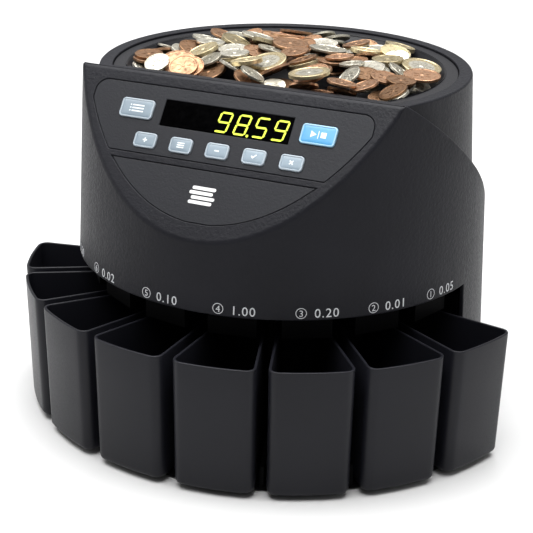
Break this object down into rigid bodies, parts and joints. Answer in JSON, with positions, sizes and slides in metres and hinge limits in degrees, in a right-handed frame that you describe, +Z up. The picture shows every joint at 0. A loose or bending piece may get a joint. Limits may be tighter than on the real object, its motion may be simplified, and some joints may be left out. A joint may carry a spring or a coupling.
{
  "type": "coin sorting machine",
  "caption": "Desktop coin counter and sorter: round charcoal body with a coin hopper on top, sloping key panel with a display, and pull-out coin cups fanned around the front.",
  "frame": {"origin": "centre of the bounding box on the surface that the machine stands on", "axes": "+Z up, -Y towards the front with the cups and panel, +X to the right seen from the front"},
  "size_m": [0.3702, 0.3369, 0.2523],
  "materials": {
    "black_plastic": "satin black moulded plastic",
    "blade_rubber": "orange polyurethane",
    "board_green": "solder-masked circuit board",
    "bright_steel": "bright machined steel",
    "display_black": "glossy black window",
    "fascia_film": "matt printed charcoal film",
    "gear_nylon": "natural nylon",
    "housing_plastic": "fine-textured charcoal moulded plastic",
    "key_blue": "sky-blue key with a pale border",
    "key_grey": "translucent grey-blue keys with a pale border",
    "motor_paint": "dark painted can",
    "rail_aluminium": "machined aluminium",
    "ribbon_grey": "flat grey cable",
    "rubber_black": "soft black rubber",
    "steel_plate": "brushed zinc-plated steel"
  },
  "bodies": {
    "housing": {"main_housing": "housing_plastic", "hopper_drum": "housing_plastic", "hopper_bowl": "black_plastic", "track_cover": "black_plastic", "control_fascia": "fascia_film", "lower_fascia": "fascia_film", "display_window": "display_black", "display_module": "black_plastic", "front_board": "board_green", "switch_domes": "bright_steel", "board_posts": "black_plastic", "mainboard": "board_green", "ribbon_cable": "ribbon_grey", "base_plate": "black_plastic", "rubber_feet": "rubber_black", "mechanism_deck": "steel_plate", "support_pillars": "steel_plate", "deck_screws": "bright_steel", "base_screws": "bright_steel", "sorting_rail": "rail_aluminium", "chute_ring": "black_plastic", "sensor_board": "board_green", "coin_sensors": "black_plastic", "upper_bearing": "bright_steel", "lower_bearing": "bright_steel", "bearing_housing": "rail_aluminium", "motor": "motor_paint", "motor_bracket": "steel_plate", "power_supply": "steel_plate", "supply_cover": "steel_plate", "rear_panel": "housing_plastic", "power_inlet": "black_plastic", "switch_frame": "black_plastic", "data_port": "black_plastic", "fuse_cap": "black_plastic", "rear_screws": "bright_steel"},
    "rotor": {"feed_disc": "rail_aluminium", "pusher_blades": "blade_rubber", "rotor_cone": "black_plastic", "rotor_nut": "bright_steel", "main_shaft": "bright_steel", "drive_gear": "gear_nylon"},
    "motor_rotor": {"motor_shaft": "bright_steel", "motor_pinion": "gear_nylon"},
    "rocker": {"power_rocker": "black_plastic"},
    "button_report": {"button_report": "key_grey"},
    "button_start_stop": {"button_start_stop": "key_blue"},
    "button_plus": {"button_plus": "key_grey"},
    "button_batch": {"button_batch": "key_grey"},
    "button_minus": {"button_minus": "key_grey"},
    "button_set": {"button_set": "key_grey"},
    "button_clear": {"button_clear": "key_grey"},
    "cup_1": {"cup_1": "black_plastic"},
    "cup_2": {"cup_2": "black_plastic"},
    "cup_3": {"cup_3": "black_plastic"},
    "cup_4": {"cup_4": "black_plastic"},
    "cup_5": {"cup_5": "black_plastic"},
    "cup_6": {"cup_6": "black_plastic"},
    "cup_7": {"cup_7": "black_plastic"},
    "cup_8": {"cup_8": "black_plastic"}
  },
  "joints": [
    {"name": "cup_1_slide", "type": "slide", "parent": "housing", "child": "cup_1", "axis": [0.9322, -0.362, 0], "range_m": [0, 0.11]},
    {"name": "cup_2_slide", "type": "slide", "parent": "housing", "child": "cup_2", "axis": [0.7561, -0.6544, 0], "range_m": [0, 0.11]},
    {"name": "cup_3_slide", "type": "slide", "parent": "housing", "child": "cup_3", "axis": [0.492, -0.8706, 0], "range_m": [0, 0.11]},
    {"name": "cup_4_slide", "type": "slide", "parent": "housing", "child": "cup_4", "axis": [0.1706, -0.9853, 0], "range_m": [0, 0.11]},
    {"name": "cup_5_slide", "type": "slide", "parent": "housing", "child": "cup_5", "axis": [-0.1706, -0.9853, 0], "range_m": [0, 0.11]},
    {"name": "cup_6_slide", "type": "slide", "parent": "housing", "child": "cup_6", "axis": [-0.492, -0.8706, 0], "range_m": [0, 0.11]},
    {"name": "cup_7_slide", "type": "slide", "parent": "housing", "child": "cup_7", "axis": [-0.7561, -0.6544, 0], "range_m": [0, 0.11]},
    {"name": "cup_8_slide", "type": "slide", "parent": "housing", "child": "cup_8", "axis": [-0.9322, -0.362, 0], "range_m": [0, 0.11]},
    {"name": "button_report_press", "type": "slide", "parent": "housing", "child": "button_report", "axis": [0, 0.8049, -0.5934], "range_m": [0, 0.001], "stiffness_N_per_m": 800},
    {"name": "button_start_stop_press", "type": "slide", "parent": "housing", "child": "button_start_stop", "axis": [0, 0.8049, -0.5934], "range_m": [0, 0.001], "stiffness_N_per_m": 800},
    {"name": "button_plus_press", "type": "slide", "parent": "housing", "child": "button_plus", "axis": [0, 0.8049, -0.5934], "range_m": [0, 0.001], "stiffness_N_per_m": 800},
    {"name": "button_batch_press", "type": "slide", "parent": "housing", "child": "button_batch", "axis": [0, 0.8049, -0.5934], "range_m": [0, 0.001], "stiffness_N_per_m": 800},
    {"name": "button_minus_press", "type": "slide", "parent": "housing", "child": "button_minus", "axis": [0, 0.8049, -0.5934], "range_m": [0, 0.001], "stiffness_N_per_m": 800},
    {"name": "button_set_press", "type": "slide", "parent": "housing", "child": "button_set", "axis": [0, 0.8049, -0.5934], "range_m": [0, 0.001], "stiffness_N_per_m": 800},
    {"name": "button_clear_press", "type": "slide", "parent": "housing", "child": "button_clear", "axis": [0, 0.8049, -0.5934], "range_m": [0, 0.001], "stiffness_N_per_m": 800},
    {"name": "power_rocker_tilt", "type": "hinge", "parent": "housing", "child": "rocker", "pos_m": [0.002, 0.16393, 0.05], "axis": [1, 0, 0], "range_deg": [0, 14]},
    {"name": "rotor_spin", "type": "hinge", "parent": "housing", "child": "rotor", "pos_m": [0, 0.01353, 0.1], "axis": [0, 0, 1], "continuous": true},
    {"name": "motor_spin", "type": "hinge", "parent": "housing", "child": "motor_rotor", "pos_m": [0, 0.06603, 0.06], "axis": [0, 0, 1], "continuous": true}
  ],
  "couplings": [
    {"joint": "motor_spin", "follows": "rotor_spin", "ratio": -4}
  ]
}
